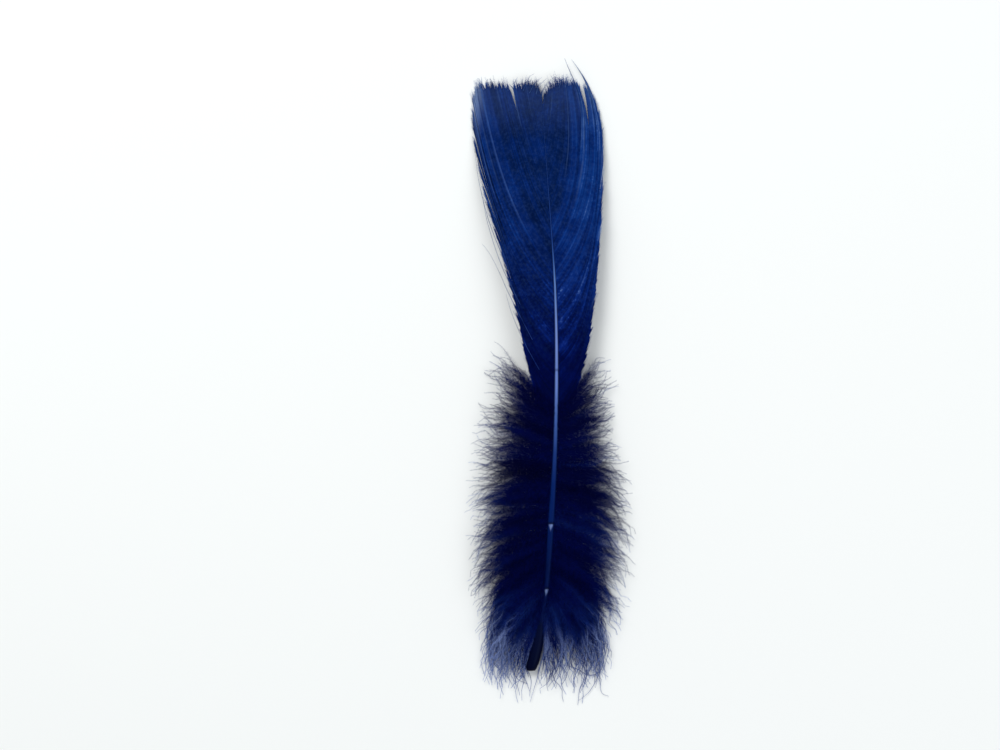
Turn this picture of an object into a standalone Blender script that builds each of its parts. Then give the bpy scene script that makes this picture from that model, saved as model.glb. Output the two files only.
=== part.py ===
"""A dyed goose body feather, lying with its outer side up on a flat surface.

The quill, the two vanes and the down grew as one piece, so they are one solid. The vanes are one
cambered sheet and the down is two looser ones, above each other. The rows of a sheet follow the
barbs, which leave the shaft on both sides, and part into locks towards their tips. Metres, +Z up,
+Y from the quill's end to the tip of the vanes, and the origin on the surface at the middle of the
feather's box.
"""

import math
from bisect import bisect_right

import bmesh
import bpy
from mathutils import Vector

# The shaft, from the cut end of the quill to the tip of the vanes: place along Y, sideways bend,
# height of its middle above the surface, radius.
SHAFT = (
    (-0.0590, -0.0036, 0.0011, 0.00085),
    (-0.0582, -0.0034, 0.0012, 0.00115),
    (-0.0565, -0.0030, 0.0013, 0.00130),
    (-0.0530, -0.0022, 0.0015, 0.00122),
    (-0.0495, -0.0017, 0.0018, 0.00092),
    (-0.0465, -0.0012, 0.0022, 0.00074),
    (-0.0430, -0.0006, 0.0027, 0.00070),
    (-0.0295, 0.0003, 0.0043, 0.00066),
    (-0.0150, 0.0011, 0.0055, 0.00054),
    (0.0030, 0.0014, 0.0062, 0.00042),
    (0.0170, 0.0011, 0.0061, 0.00038),
    (0.0285, 0.0004, 0.0055, 0.00035),
    (0.0395, -0.0004, 0.0042, 0.00033),
    (0.0530, -0.0013, 0.0024, 0.00031),
    (0.0640, -0.0018, 0.0009, 0.00030),
)
QUILL_END = -0.0590
RACHIS_TIP = 0.0530
SHAFT_STEPS = 40
CLOSER_AT_QUILL = 1.2  # how much closer the shaft's steps are at its thick end
CAP_WELD = 1e-6  # distance over which the rod's loose end caps join it

# The barbs of a sheet, from the quill towards the tip: place of the root along the shaft, where the
# tip lies in plan, and the barb's heading at its root and at its tip, in degrees from +Y.
LEFT_VANE = (
    (-0.0104, -0.0018, -0.0066, -50, -34),
    (-0.0085, -0.0040, 0.0000, -57, -34),
    (-0.0055, -0.0061, 0.0105, -54, -25),
    (-0.0010, -0.0090, 0.0225, -51, -26),
    (0.0040, -0.0121, 0.0330, -48, -25),
    (0.0090, -0.0144, 0.0430, -45, -20),
    (0.0135, -0.0153, 0.0520, -42, -12),
    (0.0185, -0.0146, 0.0594, -38, -10),
    (0.0250, -0.0116, 0.0600, -32, -13),
    (0.0330, -0.0084, 0.0598, -27, -13),
    (0.0410, -0.0054, 0.0603, -22, -11),
    (0.0480, -0.0030, 0.0600, -15, -7),
    (0.0530, -0.0016, 0.0574, -6, -4),
)
RIGHT_VANE = (
    (-0.0104, 0.0024, -0.0090, 44, 38),
    (-0.0085, 0.0047, -0.0044, 50, 34),
    (-0.0055, 0.0074, 0.0040, 52, 28),
    (-0.0010, 0.0091, 0.0160, 50, 20),
    (0.0040, 0.0101, 0.0275, 47, 16),
    (0.0090, 0.0107, 0.0390, 44, 12),
    (0.0135, 0.0106, 0.0490, 41, 4),
    (0.0185, 0.0084, 0.0570, 37, -10),
    (0.0225, 0.0046, 0.0631, 33, -24),
    (0.0290, 0.0033, 0.0606, 27, -8),
    (0.0370, 0.0022, 0.0602, 21, -5),
    (0.0450, 0.0008, 0.0602, 15, -3),
    (0.0530, -0.0010, 0.0574, 4, 0),
)
LEFT_DOWN = (
    (-0.0450, -0.0074, -0.0634, -146, -184),
    (-0.0435, -0.0110, -0.0600, -132, -168),
    (-0.0400, -0.0142, -0.0528, -116, -154),
    (-0.0340, -0.0161, -0.0430, -104, -140),
    (-0.0270, -0.0163, -0.0322, -92, -124),
    (-0.0190, -0.0155, -0.0200, -80, -104),
    (-0.0125, -0.0139, -0.0076, -66, -80),
    (-0.0065, -0.0108, 0.0058, -46, -50),
)
RIGHT_DOWN = (
    (-0.0450, 0.0014, -0.0646, 158, 188),
    (-0.0435, 0.0062, -0.0624, 142, 178),
    (-0.0400, 0.0120, -0.0558, 122, 162),
    (-0.0340, 0.0152, -0.0458, 108, 148),
    (-0.0270, 0.0163, -0.0344, 96, 132),
    (-0.0190, 0.0159, -0.0220, 84, 112),
    (-0.0125, 0.0144, -0.0090, 70, 84),
    (-0.0065, 0.0119, 0.0040, 48, 52),
)
BARB_PULL = 0.36  # how far a barb holds its headings, as a share of its length

# Where the vanes part into locks: place of the root along the shaft, and how many of a barb's steps
# the slit takes up on the left and on the right.
VANE_SLITS = (
    (-0.0104, 0, 0),
    (-0.0078, 2, 2),
    (-0.0048, 3, 3),
    (-0.0012, 3, 2),
    (0.0028, 2, 3),
    (0.0072, 4, 2),
    (0.0116, 2, 3),
    (0.0160, 3, 3),
    (0.0205, 2, 4),
    (0.0262, 2, 3),
    (0.0325, 4, 1),
    (0.0395, 2, 2),
    (0.0462, 3, 2),
    (0.0530, 0, 0),
)
VANE_STEPS = 8
VANE_THICKNESS = 0.0005
CAMBER = 14.0  # drop of the vane, in metres, over the square of its distance from the shaft
LEAST_HEIGHT = 0.00018  # of the vane's middle, where it lies on the surface
SOFT_LANDING = 0.00012  # over how much height it bends to lie flat

DOWN_SLITS = (
    (-0.0450, 0, 0),
    (-0.0438, 4, 4),
    (-0.0420, 3, 4),
    (-0.0394, 4, 3),
    (-0.0362, 3, 4),
    (-0.0326, 4, 3),
    (-0.0288, 3, 4),
    (-0.0248, 4, 4),
    (-0.0208, 4, 3),
    (-0.0170, 3, 4),
    (-0.0136, 4, 3),
    (-0.0102, 3, 3),
    (-0.0065, 0, 0),
)
DOWN_STEPS = 6
DOWN_THICKNESS = 0.0008
# Each layer of down: height of its tips, how much it arches, its share of the length, how far its
# roots lie from those of the table.
DOWN_LAYERS = (
    ("lower", 0.0004, 0.0003, 1.00, 0.0),
    ("upper", 0.0026, 0.0016, 0.86, 0.0015),
)
CROWN = 0.0007  # how much the middle of a lock of down stands above its edges

LOCK_ROWS = 3  # rows of a sheet in each lock: its two edges and its middle
SLIT_ROOT = 0.0005  # between the roots of two locks
# The tips of a sheet's locks: how much they draw together, the share of a barb's length that their
# edges reach, and how much shorter than the longest the shortest lock is.
VANE_TIPS = (0.30, 0.95, 0.0)
DOWN_TIPS = (0.50, 0.87, 0.10)
DRAW_LATE = 4  # power of the share of a barb's length: locks draw together only near their tips
LOCK_TURN = 2.4  # of the wave that makes each lock's length unlike the next one's, in radians

DYED_NAVY = (0.004, 0.014, 0.098, 1.0)
BARB_ROUGHNESS = 0.55
SHARP_FROM = 40.0  # degrees between two faces: a wider angle shows as an edge
FLOOR_CUT = 0.2  # side of the block that flattens what lies on the surface


def smooth(table, at):
    """The values of a table at a place, on smooth lines through its rows."""
    places = [row[0] for row in table]
    at = min(max(at, places[0]), places[-1])
    first = min(bisect_right(places, at) - 1, len(table) - 2)
    span = places[first + 1] - places[first]
    share = (at - places[first]) / span

    def slope(row, column):
        before = max(row - 1, 0)
        after = min(row + 1, len(table) - 1)
        rise = table[after][column] - table[before][column]
        return span * rise / (places[after] - places[before])

    values = []
    for column in range(1, len(table[0])):
        start, end = table[first][column], table[first + 1][column]
        leave, arrive = slope(first, column), slope(first + 1, column)
        bend = share * share * (3 - 2 * share)
        values.append(
            start + (end - start) * bend
            + leave * share * (1 - share) ** 2
            - arrive * share * share * (1 - share)
        )
    return values


def heading(degrees):
    """The direction in plan at an angle from +Y, positive towards +X."""
    angle = math.radians(degrees)
    return Vector((math.sin(angle), math.cos(angle)))


def barb_point(barbs, root, share):
    """A point in plan on the barb that leaves the shaft at a root."""
    tip_x, tip_y, leave, arrive = smooth(barbs, root)
    start = Vector((smooth(SHAFT, root)[0], root))
    end = Vector((tip_x, tip_y))
    pull = BARB_PULL * (end - start).length
    after_start = start + pull * heading(leave)
    before_end = end - pull * heading(arrive)
    rest = 1 - share
    return (
        rest ** 3 * start
        + 3 * rest * rest * share * after_start
        + 3 * rest * share * share * before_end
        + share ** 3 * end
    )


def vane_height(x, y, root, share, on_edge):
    """Height of the vane's middle: cambered, and bent up where it would go below the surface."""
    bend, height, _ = smooth(SHAFT, y)
    height -= CAMBER * (x - bend) ** 2
    above = height - LEAST_HEIGHT
    return LEAST_HEIGHT + (above + math.hypot(above, SOFT_LANDING)) / 2


def down_height(tip_height, arch):
    """The height of a layer of down: from the shaft to the tips, with each lock crowned."""
    def height_of(x, y, root, share, on_edge):
        at_shaft = smooth(SHAFT, root)[1]
        settle = share * share * (3 - 2 * share)
        swell = math.sin(math.pi * share)
        crown = 0.0 if on_edge else CROWN
        return at_shaft + (tip_height - at_shaft) * settle + (arch + crown) * swell

    return height_of


def clear_scene():
    for obj in list(bpy.data.objects):
        bpy.data.objects.remove(obj)


def new_collection(name):
    collection = bpy.data.collections.new(name)
    bpy.context.scene.collection.children.link(collection)
    return collection


def mesh_object(name, bm, collection):
    """An object of a mesh, in triangles, as the faces of a bent sheet aren't flat."""
    bmesh.ops.triangulate(bm, faces=bm.faces)
    mesh = bpy.data.meshes.new(name)
    bm.to_mesh(mesh)
    bm.free()
    obj = bpy.data.objects.new(name, mesh)
    collection.objects.link(obj)
    return obj


def as_helper(obj):
    """Keeps an object that only shapes another out of the render."""
    obj.hide_render = True
    obj.display_type = "WIRE"


def make_shaft(collection):
    """The quill and rachis: a tapering rod, as a closed mesh."""
    curve = bpy.data.curves.new("shaft", "CURVE")
    curve.dimensions = "3D"
    curve.bevel_depth = 1.0
    curve.bevel_resolution = 2
    curve.use_fill_caps = True
    spline = curve.splines.new("POLY")
    spline.points.add(SHAFT_STEPS)
    for step, point in enumerate(spline.points):
        along = (step / SHAFT_STEPS) ** CLOSER_AT_QUILL
        y = QUILL_END + (RACHIS_TIP - QUILL_END) * along
        bend, height, radius = smooth(SHAFT, y)
        point.co = (bend, y, height, 1.0)
        point.radius = radius
    rod = bpy.data.objects.new("shaft_line", curve)
    collection.objects.link(rod)
    graph = bpy.context.evaluated_depsgraph_get()
    mesh = bpy.data.meshes.new_from_object(rod.evaluated_get(graph))
    bm = bmesh.new()
    bm.from_mesh(mesh)
    bmesh.ops.remove_doubles(bm, verts=bm.verts, dist=CAP_WELD)
    bmesh.ops.recalc_face_normals(bm, faces=bm.faces)
    bpy.data.objects.remove(rod)
    return mesh_object("feather", bm, collection)


def lock_rows(slits):
    """The rows of a sheet: root of the barb, whether it edges its lock, root of the lock's middle,
    number of the lock."""
    rows = []
    for number, ((start, _, _), (end, _, _)) in enumerate(zip(slits, slits[1:])):
        low, high = start + SLIT_ROOT / 2, end - SLIT_ROOT / 2
        middle = (low + high) / 2
        for step in range(LOCK_ROWS):
            root = low + (high - low) * step / (LOCK_ROWS - 1)
            rows.append((root, root != middle, middle, number))
    return rows


def make_sheet(name, left, right, slits, steps, thickness, height_of, length, tips, collection):
    """Barbs on both sides of the shaft as one sheet. Its middle column follows the shaft."""
    rows = lock_rows(slits)
    draw_together, edge_reach, ragged = tips
    bm = bmesh.new()
    bmesh.ops.create_grid(bm, x_segments=2 * steps, y_segments=len(rows) - 1, size=1.0)
    cell_of = {}
    for vert in bm.verts:
        column = round(vert.co.x * steps)
        row = round((vert.co.y + 1) / 2 * (len(rows) - 1))
        cell_of[vert] = (row, column)
    for vert, (row, column) in cell_of.items():
        root, on_edge, middle, number = rows[row]
        barbs = left if column < 0 else right
        share = abs(column) / steps
        wave = math.sin(LOCK_TURN * number + (LOCK_TURN / 2 if column < 0 else 0.0))
        reach = length * share * (1 - ragged * (1 + wave) / 2)
        if on_edge:
            reach *= edge_reach
        pinch = draw_together * share ** DRAW_LATE
        point = barb_point(barbs, root, reach).lerp(barb_point(barbs, middle, reach), pinch)
        vert.co = (point.x, point.y, height_of(point.x, point.y, root, share, on_edge))

    def in_slit(face):
        cells = [cell_of[vert] for vert in face.verts]
        row = min(row for row, _ in cells)
        if row % LOCK_ROWS != LOCK_ROWS - 1:
            return False
        _, on_left, on_right = slits[row // LOCK_ROWS + 1]
        taken = on_left if min(column for _, column in cells) < 0 else on_right
        return min(abs(column) for _, column in cells) >= steps - taken

    parted = [face for face in bm.faces if in_slit(face)]
    bmesh.ops.delete(bm, geom=parted, context="FACES")
    sheet = mesh_object(name, bm, collection)
    shell = sheet.modifiers.new("thickness", "SOLIDIFY")
    shell.thickness = thickness
    shell.offset = 0.0
    sheet.modifiers.new("rim_in_triangles", "TRIANGULATE")
    as_helper(sheet)


def make_vanes(collection):
    make_sheet(
        "vanes", LEFT_VANE, RIGHT_VANE, VANE_SLITS, VANE_STEPS, VANE_THICKNESS,
        vane_height, 1.0, VANE_TIPS, collection,
    )


def make_down(collection):
    """The down in layers. The locks of one lie over the slits of the other."""
    for name, tip_height, arch, length, moved in DOWN_LAYERS:
        slits = [DOWN_SLITS[0]]
        slits += [(root + moved, left, right) for root, left, right in DOWN_SLITS[1:-1]]
        slits.append(DOWN_SLITS[-1])
        make_sheet(
            "down_" + name, LEFT_DOWN, RIGHT_DOWN, slits, DOWN_STEPS, DOWN_THICKNESS,
            down_height(tip_height, arch), length, DOWN_TIPS, collection,
        )


def make_floor_cut(collection):
    bm = bmesh.new()
    bmesh.ops.create_cube(bm, size=FLOOR_CUT)
    bmesh.ops.translate(bm, verts=bm.verts, vec=(0, 0, -FLOOR_CUT / 2))
    cutter = mesh_object("below_surface", bm, collection)
    as_helper(cutter)
    return cutter


def dyed_barbs():
    material = bpy.data.materials.new("dyed_barbs")
    material.use_nodes = True
    shader = material.node_tree.nodes["Principled BSDF"]
    shader.inputs["Base Color"].default_value = DYED_NAVY
    shader.inputs["Roughness"].default_value = BARB_ROUGHNESS
    shader.inputs["Metallic"].default_value = 0.0
    return material


def main():
    clear_scene()
    whole = new_collection("goose_feather")
    grown_on = new_collection("grown_on_shaft")
    cutters = new_collection("cutters")
    feather = make_shaft(whole)
    make_vanes(grown_on)
    make_down(grown_on)
    union = feather.modifiers.new("vanes_and_down", "BOOLEAN")
    union.operation = "UNION"
    union.operand_type = "COLLECTION"
    union.collection = grown_on
    flat = feather.modifiers.new("rests_flat", "BOOLEAN")
    flat.operation = "DIFFERENCE"
    flat.object = make_floor_cut(cutters)
    feather.data.materials.append(dyed_barbs())
    feather.data.shade_smooth()
    feather.data.set_sharp_from_angle(angle=math.radians(SHARP_FROM))


main()
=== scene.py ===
"""The looks of a dyed goose body feather, lying with its outer side up: the shaft, the two vanes
barb by barb, and the down on the lower shaft with its barbules. Metres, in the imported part's frame.
"""

import math

import bpy
import numpy as np
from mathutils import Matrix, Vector


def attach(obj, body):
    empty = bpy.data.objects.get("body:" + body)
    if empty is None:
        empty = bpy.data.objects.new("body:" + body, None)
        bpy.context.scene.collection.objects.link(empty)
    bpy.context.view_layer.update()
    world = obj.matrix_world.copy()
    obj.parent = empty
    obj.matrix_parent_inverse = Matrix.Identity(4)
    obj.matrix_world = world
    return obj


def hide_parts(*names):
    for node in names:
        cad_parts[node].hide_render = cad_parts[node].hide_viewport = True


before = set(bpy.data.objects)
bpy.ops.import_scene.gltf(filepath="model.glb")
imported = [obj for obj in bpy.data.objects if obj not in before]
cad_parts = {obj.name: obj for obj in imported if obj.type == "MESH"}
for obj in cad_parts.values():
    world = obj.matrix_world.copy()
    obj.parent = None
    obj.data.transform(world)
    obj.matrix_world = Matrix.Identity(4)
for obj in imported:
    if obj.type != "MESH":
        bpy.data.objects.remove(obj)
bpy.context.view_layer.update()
MM = 0.001


# The shaft. A rod of keratin that grew with the feather: a hollow, nearly black quill with a cut
# end, then the solid rachis, pale between the vanes on its top and with painted shade on its
# sides. Dark rings mark where its growth paused.

# Place along Y, sideways bend, height of its middle above the surface, radius.
SHAFT = (
    (-0.0590, -0.0036, 0.0011, 0.00082),
    (-0.0584, -0.0035, 0.0012, 0.00110),
    (-0.0565, -0.0030, 0.0013, 0.00126),
    (-0.0530, -0.0022, 0.0015, 0.00118),
    (-0.0495, -0.0017, 0.0018, 0.00092),
    (-0.0465, -0.0012, 0.0022, 0.00074),
    (-0.0430, -0.0006, 0.0027, 0.00072),
    (-0.0295, 0.0003, 0.0043, 0.00068),
    (-0.0150, 0.0011, 0.0055, 0.00055),
    (0.0030, 0.0014, 0.0062, 0.00041),
    (0.0170, 0.0011, 0.0061, 0.00029),
    (0.0285, 0.0004, 0.0055, 0.00018),
    (0.0395, -0.0004, 0.0042, 0.00010),
    (0.0530, -0.0013, 0.0024, 0.00005),
    (0.0640, -0.0018, 0.0009, 0.00003),
)
QUILL_END = -0.0590
RACHIS_END = 0.0560
SHAFT_RINGS = 480
SHAFT_SIDES = 28
GROWTH_RINGS = ((0.0010, 0.55), (-0.0294, 0.9), (-0.0424, 0.9))  # place along Y, how dark
RING_STEP = 0.07  # how much the shaft steps in below a ring, as a share of its radius
RING_WIDTH = 0.35 * MM
RING_LINE = 0.22 * MM  # half the width of a ring's dark line
WEDGE_LENGTH = 1.5 * MM  # of the pale wedge below each of the lower two rings
SQUARENESS = 0.06  # of the rachis: the quill is round
GROOVE, GROOVE_WIDTH = 0.20, 0.35  # along its inner side: depth in radii, half width in radians
HOLLOW = 0.62  # of the quill's radius at its cut end
HOLLOW_DEPTH = 1.6 * MM


def smooth(table, at):
    """The values of a table at places, on smooth lines through its rows: a row for each place."""
    rows = np.array(table)
    places, values = rows[:, 0], rows[:, 1:]
    at = np.clip(at, places[0], places[-1])
    first = np.clip(np.searchsorted(places, at, "right") - 1, 0, len(places) - 2)
    before = np.clip(np.arange(len(places)) - 1, 0, None)
    after = np.clip(np.arange(len(places)) + 1, None, len(places) - 1)
    slopes = (values[after] - values[before]) / (places[after] - places[before])[:, None]
    span = (places[first + 1] - places[first])[..., None]
    share = (at - places[first])[..., None] / span
    start, end = values[first], values[first + 1]
    bend = share * share * (3 - 2 * share)
    leave, arrive = slopes[first] * span, slopes[first + 1] * span
    return (
        start + (end - start) * bend
        + leave * share * (1 - share) ** 2
        - arrive * share * share * (1 - share)
    )


def step_up(value, start, end):
    """0 up to start, 1 from end on and a smooth rise between them. Start may be the larger."""
    share = np.clip((value - start) / (end - start), 0, 1)
    return share * share * (3 - 2 * share)


def linear(colour):
    """An sRGB hex colour as linear red, green, blue and alpha."""
    channels = [int(colour[i:i + 2], 16) / 255 for i in (1, 3, 5)]
    return [c / 12.92 if c <= 0.04045 else ((c + 0.055) / 1.055) ** 2.4 for c in channels] + [1.0]


def feed(tree, node, inputs):
    """Sets a node's inputs to values, or links them to sockets or to nodes' first outputs."""
    for name, value in inputs.items():
        if isinstance(value, bpy.types.Node):
            value = next(socket for socket in value.outputs if socket.enabled)
        if isinstance(value, bpy.types.NodeSocket):
            tree.links.new(value, node.inputs[name])
        else:
            node.inputs[name].default_value = value


def add(tree, kind, inputs=None, stops=(), **settings):
    """Adds a node. Settings are its own, inputs are what feed takes, and stops are the places and
    hex colours of a colour ramp."""
    node = tree.nodes.new("ShaderNode" + kind)
    for name, value in settings.items():
        setattr(node, name, value)
    for number, (place, colour) in enumerate(stops):
        elements = node.color_ramp.elements
        element = elements[number] if number < len(elements) else elements.new(place)
        element.position = place
        element.color = linear(colour)
    feed(tree, node, inputs or {})
    return node


def new_material(name):
    """A new material: its node tree and its shader."""
    material = bpy.data.materials.new(name)
    material.use_nodes = True
    return material, material.node_tree, material.node_tree.nodes["Principled BSDF"]


def dyed_shaft_keratin():
    """Horn-like keratin, scraped smooth by preening: a soft gloss, fine lengthwise ridges, and dye
    that is pale on the rachis's face and almost black on the quill, with painted shade on the
    rachis's sides."""
    material, tree, shader = new_material("dyed_shaft_keratin")
    place = add(tree, "TexCoord").outputs["Object"]
    along = add(tree, "SeparateXYZ", {"Vector": place}).outputs["Y"]
    share = add(tree, "MapRange", {"Value": along, "From Min": QUILL_END, "From Max": RACHIS_END})
    dye = add(tree, "ValToRGB", {"Fac": share}, (
        (0.000, "#01031c"), (0.080, "#020728"), (0.103, "#031248"), (0.182, "#010f3e"),
        (0.238, "#02164c"), (0.324, "#041e5a"), (0.380, "#183270"), (0.441, "#3d5a9c"),
        (0.496, "#6078ba"), (0.580, "#6a80be"), (0.678, "#5272ae"), (0.710, "#30508e"),
        (0.745, "#153474"), (1.000, "#0c2a60"),
    ))
    marks = add(tree, "Attribute", attribute_name="marks")
    marks = add(tree, "SeparateColor", {"Color": marks})
    # Painted shade darkens the rachis's sides, the rings are darker, and the wedges below the
    # lower two rings are pale, lighter on their right.
    for mark, colour in (("Blue", "#020e40"), ("Red", "#050820"), ("Green", "#8ba2dc")):
        dye = add(tree, "Mix", {
            "Factor": marks.outputs[mark], "A": dye, "B": linear(colour),
        }, data_type="RGBA")
    # Ridges about 0.15 mm apart run along the shaft.
    ridges = add(tree, "Mapping", {"Vector": place, "Scale": (1.0, 0.04, 1.0)})
    ridges = add(tree, "TexNoise", {"Vector": ridges, "Scale": 1 / (0.15 * MM), "Detail": 2.0})
    uneven = add(tree, "Mix", {
        "Factor": 0.22, "A": dye, "B": ridges,
    }, data_type="RGBA", blend_type="OVERLAY")
    bump = add(tree, "Bump", {"Height": ridges, "Strength": 0.35, "Distance": 0.05 * MM})
    feed(tree, shader, {
        "Base Color": uneven, "Normal": bump, "Roughness": 0.42, "IOR": 1.54,
        "Specular IOR Level": 0.07, "Specular Tint": linear("#9db8f0"),
    })
    return material


def new_object(name, data):
    """A new object in the scene."""
    thing = bpy.data.objects.new(name, data)
    bpy.context.scene.collection.objects.link(thing)
    return thing


def new_piece(name, points, faces, marks, material, uv=None):
    """A mesh piece of the feather that rides on it and stands for its solid. Marks are four shares
    for each point, that the material reads as a colour, and UV is for each point or for all."""
    points = points.reshape(-1, 3)
    points[:, 2] = np.maximum(points[:, 2], 0.0)  # the surface that it lies on
    mesh = bpy.data.meshes.new(name)
    mesh.from_pydata(points, [], faces)
    layer = mesh.attributes.new("marks", "FLOAT_COLOR", "POINT")
    layer.data.foreach_set("color", marks.astype(np.float32).ravel())
    if uv is not None:
        corners = np.zeros(len(mesh.loops), np.int32)
        mesh.loops.foreach_get("vertex_index", corners)
        uv = np.broadcast_to(uv, (len(points), 2))[corners]
        layer = mesh.uv_layers.new(name="along_barb")
        layer.uv.foreach_set("vector", uv.astype(np.float32).ravel())
    mesh.materials.append(material)
    mesh.shade_smooth()
    piece = new_object(name, mesh)
    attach(piece, "root")
    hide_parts("feather")


def make_shaft():
    y = QUILL_END + (RACHIS_END - QUILL_END) * np.linspace(0, 1, SHAFT_RINGS) ** 1.1
    bend, height, radius = smooth(SHAFT, y).T
    for ring, _ in GROWTH_RINGS:
        radius = radius * (1 - RING_STEP * np.exp(-((y - ring + RING_WIDTH) / RING_WIDTH) ** 2))
        radius = radius * (1 + RING_STEP / 2 * np.exp(-((y - ring - RING_WIDTH) / RING_WIDTH) ** 2))
    around = np.linspace(0, 2 * math.pi, SHAFT_SIDES, endpoint=False)
    square = SQUARENESS * step_up(y, -0.045, -0.030)[:, None] * np.cos(4 * around)
    groove = GROOVE * step_up(y, -0.046, -0.020)[:, None] * np.exp(
        -((around - 1.5 * math.pi) / GROOVE_WIDTH) ** 2
    )
    out = radius[:, None] * (1 - square - groove)
    points = np.empty((SHAFT_RINGS, SHAFT_SIDES, 3))
    points[..., 0] = bend[:, None] + out * np.cos(around)
    points[..., 1] = y[:, None]
    points[..., 2] = height[:, None] + out * np.sin(around)
    # The cut end turns in over the wall and down into the hollow.
    centre = np.array([bend[0], y[0], height[0]])
    rim = centre + (points[0] - centre) * HOLLOW
    floor = rim + (0.0, HOLLOW_DEPTH, 0.0)
    points = np.concatenate([floor[None], rim[None], points])
    rings = len(points)
    first = np.arange(rings - 1)[:, None] * SHAFT_SIDES
    lower = first + np.arange(SHAFT_SIDES)
    after = first + (np.arange(SHAFT_SIDES) + 1) % SHAFT_SIDES
    sides = np.stack([lower, after, after + SHAFT_SIDES, lower + SHAFT_SIDES], -1)
    faces = sides.reshape(-1, 4).tolist()
    faces.append(list(range(SHAFT_SIDES)))
    faces.append(list(range((rings - 1) * SHAFT_SIDES, rings * SHAFT_SIDES))[::-1])
    # Red marks the dark rings, green the pale wedges below the lower two, and blue painted shade
    # on the rachis's sides.
    marks = np.zeros((rings, SHAFT_SIDES, 4))
    marks[..., 3] = 1.0
    for ring, dark in GROWTH_RINGS:
        marks[2:, :, 0] += dark * np.exp(-((y - ring) / RING_LINE) ** 2)[:, None]
    from_top = np.abs(around - math.pi / 2)
    # Painted shade on the rachis's sides, away from its top.
    marks[2:, :, 2] = 0.9 * step_up(y, -0.030, -0.015)[:, None] * step_up(from_top, 0.32, 0.80)
    for ring, _ in GROWTH_RINGS[1:]:
        below = (ring - RING_LINE - y) / WEDGE_LENGTH
        wedge = step_up(0.95 * (1 - below[:, None]) - from_top, 0.0, 0.5)
        wedge = wedge * (0.50 - 0.30 * np.sin(around - math.pi / 2))
        marks[2:, :, 1] += np.where((below > 0)[:, None], wedge, 0.0)
    # The hollow at the cut end gets the rings' dark colour: painted shade inside it.
    marks[:2, :, 0] = 0.9
    new_piece("shaft", points, faces, np.clip(marks, 0, 1), dyed_shaft_keratin())


make_shaft()


# The vanes. Flat barbs that leave the rachis on both sides, zipped together by hooks on their
# barbules into one cambered, satin surface. Where the hooks have let go the vane is split, and at
# the tip each barb ends in a free hair.

# Each barb: place of its root along the shaft, where its tip lies in plan, and its heading at the
# root and at the tip, in degrees from +Y.
LEFT_VANE = (
    (-0.0104, -0.0018, -0.0066, -50, -34),
    (-0.0085, -0.0040, 0.0000, -57, -34),
    (-0.0055, -0.0061, 0.0105, -54, -25),
    (-0.0010, -0.0090, 0.0225, -51, -26),
    (0.0040, -0.0121, 0.0330, -48, -25),
    (0.0090, -0.0144, 0.0430, -45, -20),
    (0.0135, -0.0153, 0.0520, -42, -12),
    (0.0185, -0.0146, 0.0594, -38, -10),
    (0.0250, -0.0116, 0.0600, -32, -13),
    (0.0330, -0.0084, 0.0598, -27, -13),
    (0.0410, -0.0054, 0.0603, -22, -11),
    (0.0480, -0.0030, 0.0600, -15, -7),
    (0.0530, -0.0016, 0.0574, -6, -4),
)
RIGHT_VANE = (
    (-0.0104, 0.0024, -0.0090, 44, 38),
    (-0.0085, 0.0047, -0.0044, 50, 34),
    (-0.0055, 0.0074, 0.0040, 52, 28),
    (-0.0010, 0.0091, 0.0160, 50, 20),
    (0.0040, 0.0101, 0.0275, 47, 16),
    (0.0090, 0.0107, 0.0390, 44, 12),
    (0.0135, 0.0106, 0.0490, 41, 4),
    (0.0185, 0.0084, 0.0570, 37, -10),
    (0.0225, 0.0046, 0.0631, 33, -24),
    (0.0290, 0.0033, 0.0606, 27, -8),
    (0.0370, 0.0022, 0.0602, 21, -5),
    (0.0450, 0.0008, 0.0602, 15, -3),
    (0.0530, -0.0010, 0.0574, 4, 0),
)
BARB_PULL = 0.36  # how far a barb holds its headings, as a share of its length
CAMBER = 14.0  # drop of the vane below its middle, in metres per square metre from the shaft
LEAST_HEIGHT = 0.18 * MM  # of the vane's middle, where it lies on the surface
SOFT_LANDING = 0.12 * MM  # over how much height it bends to lie flat

# The splits on each side: place of the root along the shaft, the share of the barb where it opens,
# how many mm the barbs draw aside, counted in roots, over how many mm of roots either side, and how
# many mm the edge nearer the tip lies above the other one, or below it where that is under 0.
LEFT_SPLITS = (
    (-0.0048, 0.72, 0.10, 1.0, 0.06),
    (-0.0012, 0.70, 0.14, 1.0, 0.08),
    (0.0028, 0.65, 0.24, 1.0, 0.12),
    (0.0072, 0.58, 0.40, 1.0, 0.16),
    (0.0094, 0.70, 0.30, 0.8, 0.10),
    (0.0116, 0.60, 0.42, 1.0, 0.14),
    (0.0146, 0.80, 0.30, 0.8, 0.08),
    (0.0200, 0.20, 0.05, 1.2, -0.13),
    (0.0262, 0.90, 0.40, 1.2, 0.05),
    (0.0338, 0.68, 1.25, 1.6, 0.08),
    (0.0395, 0.87, 1.00, 1.2, 0.04),
    (0.0462, 0.84, 1.00, 1.2, 0.04),
)
RIGHT_SPLITS = (
    (-0.0048, 0.80, 0.10, 1.0, 0.06),
    (0.0028, 0.80, 0.12, 1.0, 0.08),
    (0.0098, 0.76, 0.20, 1.0, 0.12),
    (0.0160, 0.76, 0.20, 1.0, 0.12),
    (0.0229, 0.62, 1.50, 1.7, 0.06),
    (0.0260, 0.88, 0.50, 1.0, 0.05),
    (0.0310, 0.45, 0.05, 1.2, -0.16),
    (0.0345, 0.90, 0.80, 1.0, 0.04),
    (0.0395, 0.86, 0.40, 1.0, 0.06),
    (0.0462, 0.88, 0.50, 1.2, 0.05),
)
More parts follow.
